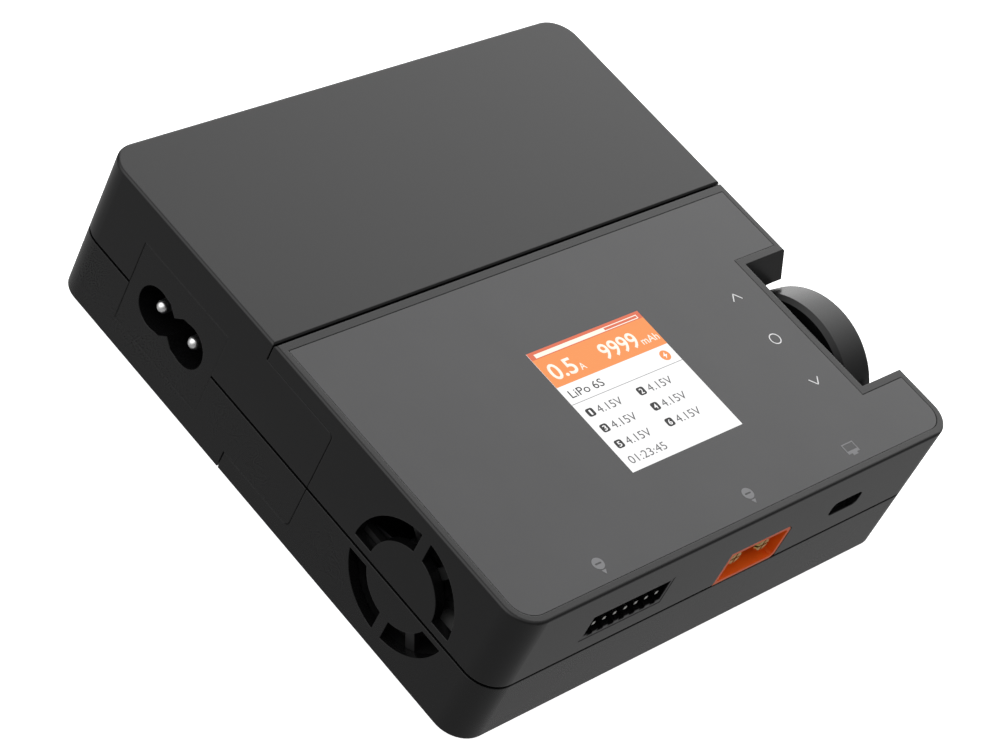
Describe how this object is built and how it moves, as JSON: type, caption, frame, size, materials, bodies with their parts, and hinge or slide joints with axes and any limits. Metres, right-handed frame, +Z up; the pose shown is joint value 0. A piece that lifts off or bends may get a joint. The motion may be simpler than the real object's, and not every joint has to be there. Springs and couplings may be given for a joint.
{
  "type": "balance battery charger",
  "caption": "Compact battery balance charger with a lit display, a thumb wheel, output sockets, a cooling fan and a mains power module that slides off the rear.",
  "frame": {"origin": "on the ground under the middle of the charger and its power module, at the bottom of the rubber feet", "axes": "+X to the side with the wheel, -Y to the front with the output sockets, +Y to the rear where the power module slides off, +Z up; the display lies on top and is read from -Y"},
  "size_m": [0.109, 0.1086, 0.0311],
  "materials": {
    "lower_case": "fine-grained dark case plastic",
    "upper_case": "fine-grained dark case plastic",
    "cover_panel": "smooth grey panel, slightly lighter than the shells",
    "screen_lens": "clear hard window over the lit display",
    "display_module": "black display frame",
    "circuit_board": "green solder mask",
    "chip_black": "moulded chip packages",
    "heatsink": "plain extruded aluminium",
    "ferrite": "grey ferrite",
    "capacitor_sleeve": "shrunk sleeve",
    "orange_connector": "orange nylon connector housing",
    "gold_contacts": "gold plated contacts",
    "socket_black": "black nylon socket",
    "tin_contacts": "tinned contacts",
    "steel_shell": "plated steel shell",
    "plunger_white": "ivory nylon",
    "wheel_plastic": "smooth dark wheel",
    "fan_plastic": "black fan plastic",
    "screw_steel": "zinc plated steel",
    "rubber_feet": "black rubber",
    "module_lower_case": "fine-grained dark case plastic",
    "module_upper_case": "fine-grained dark grey case plastic",
    "supply_board": "brown paper laminate",
    "winding_tape": "yellow tape over the winding",
    "copper_winding": "enamelled copper",
    "fuse_ceramic": "white ceramic"
  },
  "bodies": {
    "charger": {"bottom_shell": "lower_case", "top_shell": "upper_case", "cover_panel": "cover_panel", "screen_lens": "screen_lens", "display_module": "display_module", "main_board": "circuit_board", "control_chips": "chip_black", "power_transistors": "chip_black", "heatsink": "heatsink", "power_inductors": "ferrite", "filter_capacitors": "capacitor_sleeve", "buzzer": "chip_black", "output_housing": "orange_connector", "output_pins": "gold_contacts", "balance_housing": "socket_black", "balance_pins": "tin_contacts", "usb_shell": "steel_shell", "usb_tongue": "socket_black", "input_housing": "orange_connector", "input_pins": "gold_contacts", "encoder_housing": "steel_shell", "encoder_board": "circuit_board", "fan_frame": "fan_plastic", "board_screws": "screw_steel", "case_screws": "screw_steel", "charger_feet": "rubber_feet"},
    "power_module": {"module_bottom_shell": "module_lower_case", "module_top_shell": "module_upper_case", "mains_inlet": "socket_black", "inlet_pins": "tin_contacts", "supply_board": "supply_board", "transformer_core": "ferrite", "transformer_bobbin": "winding_tape", "bulk_capacitor": "capacitor_sleeve", "suppression_capacitor": "winding_tape", "line_choke": "copper_winding", "primary_heatsink": "heatsink", "switching_transistors": "chip_black", "supply_capacitors": "capacitor_sleeve", "fuse": "fuse_ceramic", "link_plug": "orange_connector", "link_contacts": "gold_contacts", "supply_screws": "screw_steel", "module_screws": "screw_steel", "module_feet": "rubber_feet"},
    "wheel_switch": {"switch_plunger": "plunger_white"},
    "wheel": {"wheel_shaft": "steel_shell", "scroll_wheel": "wheel_plastic"},
    "fan_wheel": {"fan_rotor": "fan_plastic"}
  },
  "joints": [
    {"name": "module_slide", "type": "slide", "parent": "charger", "child": "power_module", "axis": [0, 1, 0], "range_m": [0, 0.02]},
    {"name": "wheel_press", "type": "slide", "parent": "charger", "child": "wheel_switch", "axis": [-1, 0, 0], "range_m": [0, 0.0005], "stiffness_N_per_m": 1500},
    {"name": "wheel_spin", "type": "hinge", "parent": "wheel_switch", "child": "wheel", "pos_m": [0.0505, -0.0246, 0.0159], "axis": [1, 0, 0], "continuous": true},
    {"name": "fan_spin", "type": "hinge", "parent": "charger", "child": "fan_wheel", "pos_m": [-0.0475, -0.03205, 0.01565], "axis": [1, 0, 0], "continuous": true}
  ]
}
